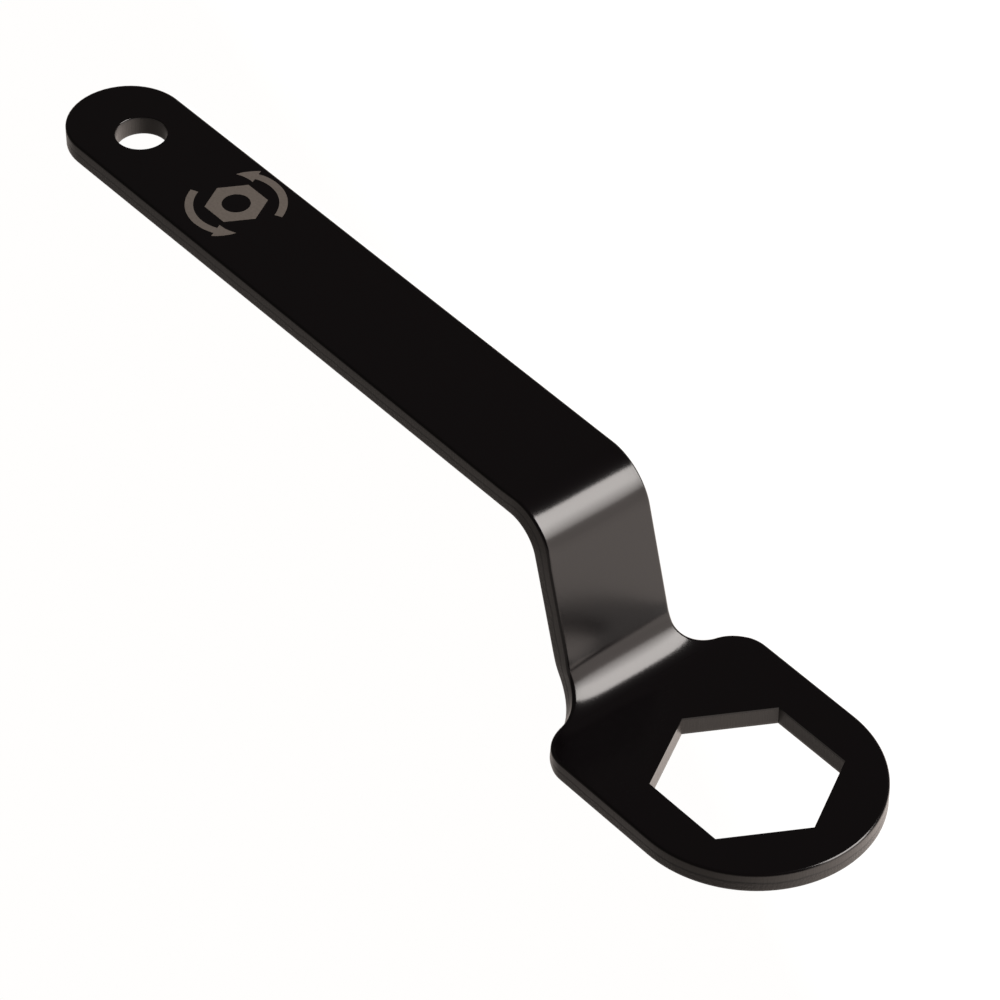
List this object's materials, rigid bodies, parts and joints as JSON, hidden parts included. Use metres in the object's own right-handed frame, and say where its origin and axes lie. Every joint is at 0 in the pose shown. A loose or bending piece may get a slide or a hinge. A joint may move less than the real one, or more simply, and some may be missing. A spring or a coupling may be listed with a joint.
{
  "type": "offset hexagon ring wrench",
  "caption": "Flat steel ring wrench with a hexagon opening in a wide head, a double bend that lifts the handle clear, and a hanging hole.",
  "frame": {"origin": "centre of the hexagon opening on the underside of the head", "axes": "+X from the opening towards the head's round tip, so the handle runs towards -X; +Z square to the head, towards the side that the handle is raised to; +Y completes the right-handed frame"},
  "size_m": [0.2063, 0.0456, 0.038],
  "materials": {
    "black_coating": "thin satin-gloss black coating on stamped steel plate"
  },
  "bodies": {
    "root": {"offset_hex_wrench": "black_coating"}
  },
  "joints": []
}
